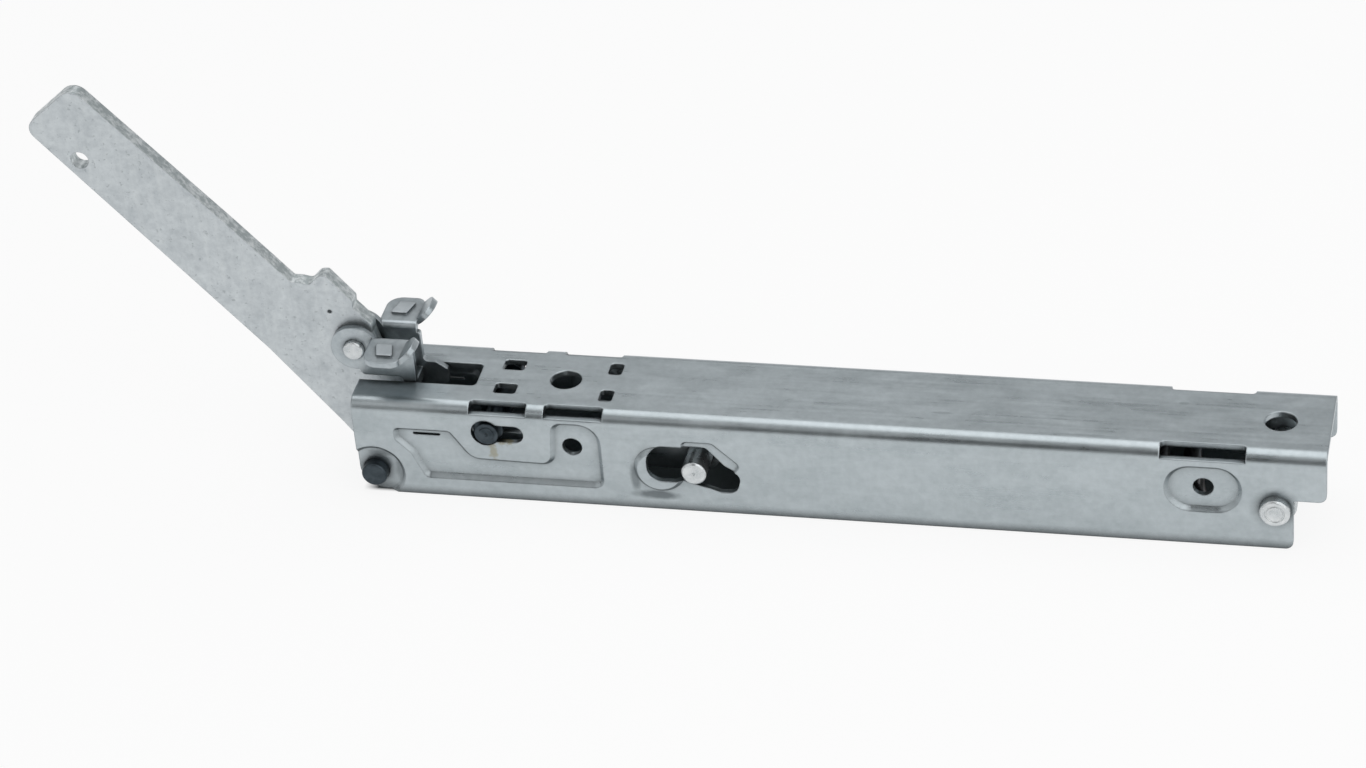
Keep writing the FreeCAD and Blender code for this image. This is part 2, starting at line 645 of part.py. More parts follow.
def clip_plate(pivot, tail):
    """Near plate of the clip with its short leg, or with the tail that the far plate has."""
    bottom = -CLIP_PLATE_BOTTOM
    edge = CLIP_PLATE_EDGE
    drop = -CLIP_BRIDGE_DROP
    corners = [
        (-1.5, CLIP_WING_TOP - CLIP_SHEET - 1.0, 0),
        (1.0, bottom, 1.0),
        (edge - 2.6, bottom, 1.0),
        (edge - 2.6, drop, 0.3),
        (edge - 0.2, drop, 1.0),
        (edge, bottom + 1.0, 1.0),
        (edge, CLIP_WING_TOP - CLIP_SHEET - 0.6, 0.6),
        (CLIP_WING_START, CLIP_WING_TOP - CLIP_SHEET - 0.6, 0),
        (1.5, CLIP_EYE_RADIUS * 0.9, 0),
    ]
    if tail:
        corners[3:5] = [
            (edge - 2.6, -CLIP_TAIL_DROP, 0.8),
            (CLIP_TAIL_END, -CLIP_TAIL_DROP, 1.0),
            (CLIP_TAIL_END, -CLIP_PLATE_BOTTOM - 1.6, 0.4),
            (CLIP_TAIL_END - 2.2, bottom - 0.1, 0.6),
            (edge, bottom - 0.1, 1.6),
        ]
        del corners[8]
    plate = side_plate(corners, -CLIP_OUTER, -CLIP_INNER)
    plate = plate.fuse(rod(0, 0, CLIP_EYE_RADIUS, -CLIP_OUTER, -CLIP_INNER))
    plate = plate.cut(rod(0, 0, CLIP_RIVET_RADIUS + RUNNING, -CLIP_OUTER, -CLIP_INNER))
    plate.translate(pivot)
    return plate


def lock_clip():
    """One folded sheet: two plates astride the arm, a bridge in the slot, wings and lips."""
    pivot = arm_point(CLIP_PIVOT_ALONG, CLIP_PIVOT_ACROSS)
    bridge = side_plate([
        (CLIP_PLATE_EDGE - 0.2 - CLIP_SHEET, -CLIP_BRIDGE_DROP, 0.3),
        (CLIP_PLATE_EDGE - 0.2, -CLIP_BRIDGE_DROP, 0.3),
        (CLIP_PLATE_EDGE - 0.2, CLIP_BRIDGE_HEIGHT - CLIP_BRIDGE_DROP, 0.3),
        (CLIP_PLATE_EDGE - 0.2 - CLIP_SHEET, CLIP_BRIDGE_HEIGHT - CLIP_BRIDGE_DROP, 0.3),
    ], -CLIP_INNER - 0.4, CLIP_INNER + 0.4)
    bridge.translate(pivot)
    side = clip_wing(pivot).fuse(clip_lip(pivot))
    near = side.fuse(clip_plate(pivot, False))
    far = mirrored(side.fuse(clip_plate(pivot, True)))
    return near.fuse(far).fuse(bridge).removeSplitter()


def link_plate():
    """Near link plate: a hook over the crank pin, a relief under the follower, an eye."""
    hook_radius = CRANK_PIN_RADIUS + LINK_HOOK_CLEARANCE
    hook_x = CRANK_X - LINK_HOOK_SHIFT
    hook_top = CRANK_Z + LINK_HOOK_RISE
    prong_end = CRANK_Z - LINK_PRONG_DROP
    front = hook_x - hook_radius
    rear = hook_x + hook_radius
    eye_low = SPRING_PIN_Z - LINK_EYE_RADIUS
    eye_high = SPRING_PIN_Z + LINK_EYE_RADIUS
    eye_end = SPRING_PIN_X + LINK_EYE_RADIUS
    corners = [
        (front - LINK_PRONG_WIDTH, prong_end, 0.9),
        (front, prong_end, 0.6),
        (front, hook_top, hook_radius * 0.98),
        (rear, hook_top, hook_radius * 0.98),
        (rear, prong_end - 0.8, 0.6),
        (LINK_HEEL_END, prong_end - 0.8, 2.0),
        (LINK_NECK_X, eye_low, 3.0),
        (eye_end, eye_low, LINK_EYE_RADIUS * 0.98),
        (eye_end, eye_high, LINK_EYE_RADIUS * 0.98),
        (LINK_RELIEF_END + 2.5, eye_high, 2.0),
        (LINK_RELIEF_END, LINK_RELIEF_TOP, 2.0),
        (LINK_NECK_X, LINK_RELIEF_TOP, 2.5),
        (rear + LINK_SHOULDER, hook_top + LINK_HOOK_MARGIN, 2.5),
        (front - LINK_PRONG_WIDTH, hook_top + LINK_HOOK_MARGIN, 3.0),
    ]
    plate = side_plate(corners, -LINK_OUTER, -LINK_OFFSET)
    return plate.cut(rod(SPRING_PIN_X, SPRING_PIN_Z, SPRING_PIN_RADIUS, -LINK_OUTER, -LINK_OFFSET))


def pivot_rivet():
    face = PRESSED_OUT + PIVOT_RIVET_PROUD
    return turned(PIVOT_X, PIVOT_Z, [(PIVOT_RADIUS, face - 0.25), (PIVOT_RADIUS - 0.25, face)])


def clip_rivet():
    pivot = arm_point(CLIP_PIVOT_ALONG, CLIP_PIVOT_ACROSS)
    face = CLIP_OUTER + CLIP_RIVET_PROUD
    return turned(pivot.x, pivot.z, [(CLIP_RIVET_RADIUS, face - 0.2), (CLIP_RIVET_RADIUS - 0.2, face)])


def crank_pin():
    shoulder = LINK_OUTER + SIDE_PLAY
    face = shoulder + CRANK_HEAD_THICKNESS
    return turned(CRANK_X, CRANK_Z, [
        (CRANK_PIN_RADIUS, shoulder),
        (CRANK_HEAD_RADIUS, shoulder),
        (CRANK_HEAD_RADIUS, face - 0.3),
        (CRANK_HEAD_RADIUS - 0.3, face),
    ])


def spring_pin():
    face = WALL_OUT + SPRING_PIN_PROUD
    pin = turned(SPRING_PIN_X, SPRING_PIN_Z, [
        (SPRING_PIN_RADIUS, face - SPRING_PIN_CHAMFER),
        (SPRING_PIN_RADIUS - SPRING_PIN_CHAMFER, face),
    ])
    mark = Part.makeCone(SPRING_PIN_MARK_RADIUS, 0, SPRING_PIN_MARK_DEPTH, V(SPRING_PIN_X, -face, SPRING_PIN_Z), V(0, 1, 0))
    return pin.cut(mark)


def anchor_rivet():
    face = WALL_OUT + ANCHOR_PROUD
    rivet = turned(ANCHOR_X, ANCHOR_Z, [(ANCHOR_RADIUS, face - 0.3), (ANCHOR_RADIUS - 0.3, face)])
    groove = ring(ANCHOR_X, ANCHOR_Z, ANCHOR_RADIUS * 0.55, ANCHOR_RADIUS * 0.65, -face, 0.15 - face)
    return rivet.cut(groove).cut(mirrored(groove))


def follower_pin():
    shoulder = WALL_OUT + SIDE_PLAY
    face = shoulder + FOLLOWER_HEAD_THICKNESS
    pin = turned(FOLLOWER_X, FOLLOWER_Z, [
        (FOLLOWER_SHANK_RADIUS, shoulder),
        (FOLLOWER_HEAD_RADIUS, shoulder),
        (FOLLOWER_HEAD_RADIUS, face - FOLLOWER_STEP_DEPTH),
        (FOLLOWER_STEP_RADIUS, face - FOLLOWER_STEP_DEPTH),
        (FOLLOWER_STEP_RADIUS, face),
    ])
    dimple = Part.makeCone(FOLLOWER_DIMPLE_RADIUS, 0, 0.35, V(FOLLOWER_X, -face, FOLLOWER_Z), V(0, 1, 0))
    return pin.cut(dimple).cut(mirrored(dimple))


def hook_line(centre, pin_radius, target):
    """Centre line of an open loop round a pin, from its free end to where it leaves for the coil."""
    radius = pin_radius + SPRING_HOOK_GAP + SPRING_WIRE / 2
    gap = target - centre
    side = 1 if gap.x > 0 else -1
    leave = math.atan2(gap.z, gap.x) - side * math.acos(radius / gap.Length)
    sweep = math.radians(SPRING_HOOK_SWEEP)
    line = []
    for i in range(SPRING_HOOK_STEPS + 1):
        angle = leave - side * sweep * (1 - i / SPRING_HOOK_STEPS)
        line.append(centre + V(math.cos(angle), 0, math.sin(angle)) * radius)
    last = line[-1]
    bend = (target - last).normalize() * SPRING_WIRE
    line.append(target - bend)
    return line


def spring_line():
    """Centre line of the whole spring: front hook, coil, rear hook."""
    mean_radius = (SPRING_DIAMETER - SPRING_WIRE) / 2
    axis_z = (SPRING_PIN_Z + ANCHOR_Z) / 2
    start = SPRING_PIN_X + SPRING_PIN_RADIUS + SPRING_WIRE + SPRING_FRONT_GAP
    end = ANCHOR_X - ANCHOR_RADIUS - SPRING_WIRE - SPRING_REAR_GAP
    steps = SPRING_TURNS * SPRING_TURN_STEPS
    coil = []
    for i in range(1, steps):
        angle = 2 * math.pi * i / SPRING_TURN_STEPS
        x = start + (end - start) * i / steps
        coil.append(V(x, mean_radius * math.sin(angle), axis_z - mean_radius * math.cos(angle)))
    low = axis_z - mean_radius
    front = hook_line(V(SPRING_PIN_X, 0, SPRING_PIN_Z), SPRING_PIN_RADIUS, V(start, 0, low))
    rear = hook_line(V(ANCHOR_X, 0, ANCHOR_Z), ANCHOR_RADIUS, V(end, 0, low))
    return front + coil + rear[::-1]


def wire_solid(line, radius):
    """Round wire along a centre line, drawn with flat facets to keep it light."""
    count = len(line)
    rings = []
    normal = V(0, 1, 0)
    for i, point in enumerate(line):
        heading = line[min(i + 1, count - 1)] - line[max(i - 1, 0)]
        heading.normalize()
        normal = normal - heading * normal.dot(heading)
        normal.normalize()
        across = heading.cross(normal)
        turn = [2 * math.pi * k / SPRING_WIRE_SIDES for k in range(SPRING_WIRE_SIDES)]
        rings.append([point + normal * (radius * math.cos(a)) + across * (radius * math.sin(a)) for a in turn])
    faces = [Part.Face(Part.makePolygon(ends + [ends[0]])) for ends in (rings[0], rings[-1])]
    for here, there in zip(rings, rings[1:]):
        for k in range(SPRING_WIRE_SIDES):
            j = (k + 1) % SPRING_WIRE_SIDES
            faces.append(Part.Face(Part.makePolygon([here[k], here[j], there[j], here[k]])))
            faces.append(Part.Face(Part.makePolygon([here[k], there[j], there[k], here[k]])))
    shell = Part.makeShell(faces)
    shell.sewShape()
    solid = Part.makeSolid(shell)
    if solid.Volume < 0:
        solid.reverse()
    return solid


def main_spring():
    return wire_solid(spring_line(), SPRING_WIRE / 2)


def save(shape, node):
    placed = shape.copy()
    placed.translate(V(-FRONT_HOLE_X, 0, -CHANNEL_HEIGHT))
    placed.exportStep("parts/" + node + ".step")


def save_pair(shape, node):
    save(shape, node + "_near")
    save(mirrored(shape), node + "_far")


def main():
    os.makedirs("parts", exist_ok=True)
    clip = arm_point(CLIP_PIVOT_ALONG, CLIP_PIVOT_ACROSS)
    hook_side = SPRING_WIRE / 2 + SIDE_PLAY
    save(channel(), "channel")
    save(arm(), "arm")
    save(lock_clip(), "lock_clip")
    save(main_spring(), "main_spring")
    save(pivot_rivet(), "pivot_rivet")
    save(clip_rivet(), "clip_rivet")
    save(crank_pin(), "crank_pin")
    save(spring_pin(), "spring_pin")
    save(anchor_rivet(), "anchor_rivet")
    save(follower_pin(), "follower_pin")
    save_pair(link_plate(), "link_plate")
    pivot_from = ARM_FACE + SIDE_PLAY
    save_pair(ring(PIVOT_X, PIVOT_Z, PIVOT_RADIUS, PIVOT_SPACER_RADIUS, -PRESSED_IN, -pivot_from), "pivot_spacer")
    clip_to = ARM_FACE + CLIP_WASHER_THICKNESS
    save_pair(ring(clip.x, clip.z, CLIP_RIVET_RADIUS, CLIP_WASHER_RADIUS, -clip_to, -ARM_FACE), "clip_washer")
    crank_to = LINK_OFFSET - SIDE_PLAY
    save_pair(ring(CRANK_X, CRANK_Z, CRANK_PIN_RADIUS, CRANK_SPACER_RADIUS, -crank_to, -ARM_FACE), "crank_spacer")
    save_pair(
        ring(SPRING_PIN_X, SPRING_PIN_Z, SPRING_PIN_RADIUS, SPRING_SPACER_RADIUS, -LINK_OFFSET, -hook_side),
        "spring_spacer")
    save_pair(
        ring(ANCHOR_X, ANCHOR_Z, ANCHOR_RADIUS, ANCHOR_SPACER_RADIUS, -WALL_IN, -hook_side), "anchor_spacer")
    collar_to = WALL_IN - SIDE_PLAY
    save_pair(
        ring(FOLLOWER_X, FOLLOWER_Z, FOLLOWER_SHANK_RADIUS, FOLLOWER_COLLAR_RADIUS,
             -collar_to, FOLLOWER_COLLAR_WIDTH - collar_to), "follower_collar")
    save(
        ring(FOLLOWER_X, FOLLOWER_Z, FOLLOWER_SHANK_RADIUS, FOLLOWER_SLEEVE_RADIUS,
             -FOLLOWER_SLEEVE_HALF, FOLLOWER_SLEEVE_HALF), "follower_sleeve")


main()
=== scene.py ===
import bpy
import math
from mathutils import Matrix, Vector


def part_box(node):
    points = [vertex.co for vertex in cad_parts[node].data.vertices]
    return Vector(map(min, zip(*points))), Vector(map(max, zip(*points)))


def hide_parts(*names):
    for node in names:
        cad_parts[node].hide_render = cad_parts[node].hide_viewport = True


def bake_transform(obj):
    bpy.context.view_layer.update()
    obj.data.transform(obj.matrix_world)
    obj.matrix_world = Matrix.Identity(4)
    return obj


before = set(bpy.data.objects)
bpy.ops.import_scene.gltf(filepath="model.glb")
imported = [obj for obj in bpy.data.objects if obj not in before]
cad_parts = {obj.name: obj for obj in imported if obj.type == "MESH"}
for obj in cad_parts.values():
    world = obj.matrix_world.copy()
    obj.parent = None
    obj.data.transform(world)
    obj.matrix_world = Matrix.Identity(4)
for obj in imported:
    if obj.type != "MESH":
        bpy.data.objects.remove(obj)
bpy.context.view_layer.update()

# Camera, at the photograph's viewing angle
CAMERA_AT = (0.20399, -0.67782, 0.48464)
CAMERA_FORWARD = (-0.21236, 0.79525, -0.56787)
CAMERA_UP = (-0.0566, 0.5701, 0.8196)
CAMERA_LENS = 118.0
SENSOR_WIDTH = 36.0
CAMERA_NEAR = 0.01
CAMERA_FAR = 20

# Lamps: place, point looked at, width and depth, power in watts
LAMPS = {
    "key_top": ((0.1, 0.1, 0.9), (0.05, 0.05, 0), (1.7, 0.8), 3.9),
    "fill_left": ((-0.7, -0.6, 0.5), (0, 0, 0), (1.0, 1.0), 2.2),
    "fill_right": ((0.65, -0.5, 0.45), (0.15, -0.05, 0), (1.0, 1.0), 3.4),
}

# Room: height from 0, the horizon, to 1, straight up, and the grey level there
NEAR_SKY = ((0.0, 0.05), (0.55, 0.05), (0.80, 0.12), (0.93, 0.34), (1.0, 0.48))
FAR_SKY = ((0.0, 0.66), (0.25, 0.46), (0.60, 0.39), (0.80, 0.50), (1.0, 0.55))
SKY_TINT = (1.0, 1.01, 1.02)
# Half the stretch, across the room, in which the near side gives way to the far side
SKY_BLEND = 0.35

# Floor, just under the channel's foot; glow is the share of it that is plain white
FLOOR_SIZE = 8.0
FLOOR_GAP = 0.0002
GLOW_TO_CAMERA = 0.88
GLOW_TO_METAL = 0.5

# Ground that the channel stands over, where the floor gets a painted shadow: it ends short of the
# rear step, and fades at its borders
CHANNEL_LOW, CHANNEL_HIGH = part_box("channel")
FOOT_START = CHANNEL_LOW.x
FOOT_END = CHANNEL_HIGH.x - 0.00735
FOOT_HALF_WIDTH = 0.0108
FOOT_END_FADE = 0.003
FOOT_SIDE_FADE = 0.001

# Main spring, in metres from the front screw hole
SPRING_PIN = Vector((0.02655, 0, -0.01175))
ANCHOR = Vector((0.13645, 0, -0.01205))
SPRING_PIN_RADIUS = 0.00245
ANCHOR_RADIUS = 0.00285
WIRE_RADIUS = 0.0012
WIRE_SIDES = 14
COIL_RADIUS = 0.0063
COIL_START = 0.0388
COIL_END = 0.1234
COIL_TURNS = 14
TURN_STEPS = 36
COIL_LEAD = 2
HOOK_GAP = 0.0002
HOOK_SWEEP = math.radians(265)
HOOK_STEPS = 24

# Arm's lean from upright
ARM_LEAN = math.radians(131.5 - 90)

# Top face of the clip's wings, where they end at the lips, and where they start beside the arm
WING_TOP = 0.0094
WING_END = -0.0295
WING_START = 0.0048

# Colours in linear red, green and blue; a pair is the darkest and the palest tone of a mottle
SHEET_TONES = ((0.405, 0.455, 0.475), (0.57, 0.625, 0.65))
ARM_TONES = ((0.46, 0.50, 0.525), (0.72, 0.765, 0.785))
SHEARED_TONES = ((0.46, 0.51, 0.52), (0.80, 0.84, 0.85))
CLIP_TONES = ((0.37, 0.42, 0.445), (0.60, 0.65, 0.675))
BRIGHT_TONES = ((0.54, 0.575, 0.59), (0.80, 0.825, 0.83))
DARK_TONES = ((0.035, 0.046, 0.054), (0.085, 0.105, 0.12))
WIRE_TONES = ((0.10, 0.10, 0.105), (0.22, 0.22, 0.22))
FLOOR_TONES = ((0.90, 0.90, 0.90), (0.93, 0.93, 0.93))
BROWN = (0.30, 0.25, 0.11)
WORN_GREY = (0.10, 0.115, 0.125)
PAINTED_SHADE_GREY = (0.12, 0.14, 0.15)
PAINTED_LEDGE_SHADE = (0.07, 0.085, 0.09)
PIT_GREY = (0.24, 0.27, 0.28)
DOT_GREY = (0.02, 0.025, 0.03)
BRUSHED_GREY = (0.74, 0.78, 0.79)
PAD_GREY = (0.68, 0.73, 0.76)
PAINTED_SHADOW_GREY = (0.16, 0.19, 0.20)

# Marks: centre, half-sizes, how ragged the outline is and how fine the rags are
STAIN = ((-0.0127, -0.011, -0.0101), (0.0010, 0.002, 0.0024), 0.5, 900)
SLOT_FILM = ((-0.0098, -0.0105, -0.0066), (0.0018, 0.0012, 0.0022), 0.4, 700)
ARM_DOT = ((-0.04508, -0.0015, 0.01392), (0.00062, 0.001, 0.00052), 0.3, 1500)

# Scuffs on the channel's top face: centre and half-sizes
SCUFFS = (
    ((0.0734, -0.0036, 0), (0.0026, 0.00042, 0.001)),
    ((0.0961, 0.0023, 0), (0.0013, 0.00038, 0.001)),
    ((0.0957, -0.0033, 0), (0.0019, 0.00034, 0.001)),
    ((0.1010, -0.0080, 0), (0.0060, 0.0005, 0.001)),
    ((0.1180, 0.0040, 0), (0.0012, 0.0005, 0.001)),
)
SCUFF_RAGS = (0.15, 420)

# Painted shade in the pressed areas of the near wall: centre, half-sizes and strength
SHADES = (
    ((0.0190, -0.0110, -0.0177), (0.0052, 0.0030, 0.0012), 0.75),
    ((0.0149, -0.0110, -0.0140), (0.0012, 0.0030, 0.0036), 0.60),
    ((-0.0355, -0.0110, -0.0124), (0.0034, 0.0030, 0.0010), 0.50),
    ((-0.0322, -0.0110, -0.0160), (0.0010, 0.0030, 0.0032), 0.45),
)
SHADE_RAGS = (0.15, 300)

# Span that most of a noise's values lie in
NOISE_LOW = 0.3
NOISE_HIGH = 0.7


class Nodes:
    """One cleared node tree, with short calls for its nodes and links."""

    def __init__(self, owner, output):
        owner.use_nodes = True
        self.owner = owner
        self.tree = owner.node_tree
        self.tree.nodes.clear()
        self.output = self.node(output)
        self.place = self.node("ShaderNodeTexCoord")

    def node(self, kind, **values):
        made = self.tree.nodes.new(kind)
        for key, value in values.items():
            setattr(made, key, value)
        return made

    def link(self, source, target):
        self.tree.links.new(source, target)

    def axes(self, place):
        """X, Y and Z outputs of one of the object's own directions."""
        split = self.node("ShaderNodeSeparateXYZ")
        self.link(self.place.outputs[place], split.inputs[0])
        return split.outputs

    def noise(self, scale, detail=4, roughness=0.55, turn=(0, 0, 0), bend=0.0):
        """Noise of one scale, or of three along X, Y and Z."""
        mapping = self.node("ShaderNodeMapping")
        mapping.inputs["Scale"].default_value = scale if isinstance(scale, tuple) else (scale,) * 3
        mapping.inputs["Rotation"].default_value = turn
        self.link(self.place.outputs["Object"], mapping.inputs["Vector"])
        made = self.node("ShaderNodeTexNoise")
        made.inputs["Scale"].default_value = 1.0
        made.inputs["Detail"].default_value = detail
        made.inputs["Roughness"].default_value = roughness
        made.inputs["Distortion"].default_value = bend
        self.link(mapping.outputs["Vector"], made.inputs["Vector"])
        return made.outputs["Fac"]

    def remap(self, value, low, high, to_low=0.0, to_high=1.0, interpolation="LINEAR"):
        made = self.node("ShaderNodeMapRange", interpolation_type=interpolation)
        made.inputs["From Min"].default_value = low
        made.inputs["From Max"].default_value = high
        made.inputs["To Min"].default_value = to_low
        made.inputs["To Max"].default_value = to_high
        self.link(value, made.inputs["Value"])
        return made.outputs["Result"]

    def spread(self, noise, low, high):
        """A noise's usual span stretched to run from low to high."""
        return self.remap(noise, NOISE_LOW, NOISE_HIGH, low, high)

    def math(self, operation, first, second=0):
        made = self.node("ShaderNodeMath", operation=operation)
        for value, socket in zip((first, second), made.inputs):
            if isinstance(value, (int, float)):
                socket.default_value = value
            else:
                self.link(value, socket)
        return made.outputs["Value"]

    def add(self, first, *others):
        for other in others:
            first = self.math("ADD", first, other)
        return first

    def times(self, first, second):
        return self.math("MULTIPLY", first, second)

    def mix(self, factor, first, second):
        made = self.node("ShaderNodeMix", data_type="RGBA")
        self.link(factor, made.inputs["Factor"])
        for value, socket in ((first, made.inputs[6]), (second, made.inputs[7])):
            if isinstance(value, tuple):
                socket.default_value = (*value, 1)
            else:
                self.link(value, socket)
        return made.outputs[2]

    def spot(self, centre, radii, rag, rag_scale):
        """1 inside a ragged ellipsoid about a point of the hinge, falling softly to 0 outside."""
        mapping = self.node("ShaderNodeMapping")
        mapping.inputs["Scale"].default_value = tuple(1 / r for r in radii)
        mapping.inputs["Location"].default_value = tuple(-c / r for c, r in zip(centre, radii))
        self.link(self.place.outputs["Object"], mapping.inputs["Vector"])
        length = self.node("ShaderNodeVectorMath", operation="LENGTH")
        self.link(mapping.outputs["Vector"], length.inputs[0])
        rags = self.spread(self.noise(rag_scale, 5), -rag, rag)
        return self.remap(self.add(length.outputs["Value"], rags), 0.55, 1.05, 1.0, 0.0)

    def under_channel(self):
        """1 on the floor that the channel stands over, where the shadow is painted, 0 outside it."""
        at = self.axes("Object")
        half = (FOOT_END - FOOT_START) / 2
        along = self.math("ABSOLUTE", self.math("SUBTRACT", at["X"], FOOT_START + half))
        along = self.remap(along, half - FOOT_END_FADE, half, 1.0, 0.0)
        across = self.math("ABSOLUTE", at["Y"])
        across = self.remap(across, FOOT_HALF_WIDTH - FOOT_SIDE_FADE, FOOT_HALF_WIDTH, 1.0, 0.0)
        return self.times(along, across)

    def downward_ledge(self):
        """1 on the sloping borders of pressed areas that face down and outward, where shade is
        painted, 0 elsewhere.
        """
        facing = self.axes("Normal")
        down = self.remap(facing["Z"], -0.45, -0.2, 1.0, 0.0)
        outward = self.remap(self.math("ABSOLUTE", facing["Y"]), 0.3, 0.5)
        return self.times(down, outward)

    def with_painted_corner_shade(self, colour, reach, darkest):
        """The colour darkened in inner corners, within reach of a wall: painted shade."""
        nook = self.node("ShaderNodeAmbientOcclusion", samples=8)
        nook.inputs["Distance"].default_value = reach
        made = self.node("ShaderNodeVectorMath", operation="SCALE")
        self.link(colour, made.inputs[0])
        self.link(self.remap(nook.outputs["AO"], 0.6, 0.97, darkest), made.inputs["Scale"])
        return made.outputs["Vector"]

    def edge_normal(self, radius):
        """Face directions that look rounded along every edge."""
        made = self.node("ShaderNodeBevel", samples=6)
        made.inputs["Radius"].default_value = radius
        return made.outputs["Normal"]

    def bump(self, height, strength, distance, normal=None):
        made = self.node("ShaderNodeBump")
        made.inputs["Strength"].default_value = strength
        made.inputs["Distance"].default_value = distance
        self.link(height, made.inputs["Height"])
        if normal is not None:
            self.link(normal, made.inputs["Normal"])
        return made.outputs["Normal"]

    def metal(self, colour, roughness, normal, metallic):
        made = self.node("ShaderNodeBsdfPrincipled")
        made.inputs["Metallic"].default_value = metallic
        self.link(colour, made.inputs["Base Color"])
        self.link(roughness, made.inputs["Roughness"])
        self.link(normal, made.inputs["Normal"])
        self.link(made.outputs["BSDF"], self.output.inputs["Surface"])
        return self.owner

    def blended(self, share, first, second):
        """Ends the tree with the first shader, replaced by the second to the given share."""
        made = self.node("ShaderNodeMixShader")
        self.link(share, made.inputs["Fac"])
        self.link(first, made.inputs[1])
        self.link(second, made.inputs[2])
        self.link(made.outputs["Shader"], self.output.inputs["Surface"])
        return self.owner


def material_nodes(name):
    return Nodes(bpy.data.materials.new(name), "ShaderNodeOutputMaterial")


def plated_sheet():
    """Zinc-plated channel: bluish grey, faint rolling lines along its length, a stain and scuffs,
    and painted shade in the pressed areas, on downward ledges and in inner corners.
    """
    s = material_nodes("plated_sheet")
    lines = s.noise((25, 1400, 1400), 2)
    cloud = s.noise((90, 220, 220), 5, bend=0.6)
    mottle = s.noise(700, 4, 0.6)
    speck = s.noise(1800, 2)
    tone = s.add(s.spread(cloud, 0.0, 0.5), s.spread(lines, 0.0, 0.12), s.spread(mottle, 0.0, 0.38))
    colour = s.mix(tone, *SHEET_TONES)
    brown = s.math("MAXIMUM", s.times(s.spot(*STAIN), 0.5), s.times(s.spot(*SLOT_FILM), 0.7))
    colour = s.mix(brown, colour, BROWN)
    first_scuff, *other_scuffs = (s.spot(*scuff, *SCUFF_RAGS) for scuff in SCUFFS)
    worn = first_scuff
    for scuff in other_scuffs:
        worn = s.math("MAXIMUM", worn, scuff)
    colour = s.mix(s.times(worn, 0.32), colour, WORN_GREY)
    # Painted shade: grey spots in the pressed areas of the near wall
    for centre, size, strength in SHADES:
        painted_shade = s.times(s.spot(centre, size, *SHADE_RAGS), strength)
        colour = s.mix(painted_shade, colour, PAINTED_SHADE_GREY)
    # Painted shade on the downward-facing ledges of the pressed areas
    colour = s.mix(s.times(s.downward_ledge(), 0.75), colour, PAINTED_LEDGE_SHADE)
    # Painted shade darkening the channel's inner corners
    colour = s.with_painted_corner_shade(colour, 0.0024, 0.25)
    along_lines = s.remap(lines, 0.35, 0.65, -0.03, 0.05)
    roughness = s.add(s.spread(cloud, 0.27, 0.36), along_lines, s.times(worn, 0.15))
    height = s.add(s.times(lines, 0.2), s.times(speck, 0.3), s.times(mottle, 0.5))
    normal = s.bump(height, 0.22, 0.00006, s.edge_normal(0.00045))
    return s.metal(colour, roughness, normal, 0.95)


def arm_plate():
    """Arm: pale, matte, mottled faces with dull spots and a dark dot, and streaked sheared edges."""
    s = material_nodes("arm_plate")
    lean = (0, ARM_LEAN, 0)
    cloud = s.noise(160, 6, 0.65, bend=0.8)
    dots = s.noise(700, 3, 0.6)
    grain = s.noise(2400, 2)
    tone = s.add(s.spread(cloud, 0.0, 0.6), s.remap(dots, 0.35, 0.65, 0.0, 0.4))
    face = s.mix(tone, *ARM_TONES)
    pits = s.remap(s.noise(1100, 2), 0.64, 0.72, 0.0, 0.45)
    face = s.mix(pits, face, PIT_GREY)
    brushed = s.noise((700, 700, 60), 3, turn=(0, math.radians(12), 0))
    face = s.mix(s.remap(brushed, 0.5, 0.7, 0.0, 0.3), face, BRUSHED_GREY)
    across = s.noise((420, 90, 420), 4, 0.6)
    along = s.noise((1100, 1100, 70), 4, 0.6, turn=lean)
    shear = s.add(s.times(across, 0.3), s.times(along, 0.7))
    edge = s.mix(s.remap(shear, 0.44, 0.60), *SHEARED_TONES)
    flat = s.remap(s.math("ABSOLUTE", s.axes("Normal")["Y"]), 0.4, 0.7)
    colour = s.mix(flat, edge, face)
    colour = s.mix(s.times(s.spot(*ARM_DOT), 0.9), colour, DOT_GREY)
    roughness = s.remap(tone, 0.2, 0.8, 0.34, 0.46)
    height = s.add(s.times(dots, 0.5), s.times(grain, 0.3))
    normal = s.bump(height, 0.25, 0.00008, s.edge_normal(0.00030))
    normal = s.bump(s.noise((1500, 1500, 30), 2, turn=lean), 0.06, 0.00004, normal)
    return s.metal(colour, roughness, normal, 0.9)


def clip_sheet():
    """Lock clip: bright zinc, smoother than the channel, with rubbed pale pads on its wings and
    painted shade in its inner corners.
    """
    s = material_nodes("clip_sheet")
    cloud = s.noise(260, 5, bend=0.7)
    streaks = s.noise((900, 160, 900), 4, 0.6)
    grain = s.noise(2000, 3)
    tone = s.add(s.spread(cloud, 0.0, 0.65), s.spread(streaks, 0.0, 0.35))
    colour = s.mix(tone, *CLIP_TONES)
    at = s.axes("Object")
    raised = s.remap(at["Z"], WING_TOP + 0.00015, WING_TOP + 0.0004)
    before_lip = s.remap(at["X"], WING_END - 0.0012, WING_END - 0.0002, 1.0, 0.0)
    on_wing = s.remap(s.math("ABSOLUTE", at["Y"]), WING_START, WING_START + 0.0004)
    rubbed = s.times(s.times(raised, before_lip), on_wing)
    colour = s.mix(s.times(rubbed, 0.45), colour, PAD_GREY)
    # Painted shade darkening the clip's inner corners
    colour = s.with_painted_corner_shade(colour, 0.004, 0.4)
    roughness = s.spread(cloud, 0.28, 0.38)
    normal = s.bump(grain, 0.2, 0.00005, s.edge_normal(0.00035))
    return s.metal(colour, roughness, normal, 0.97)


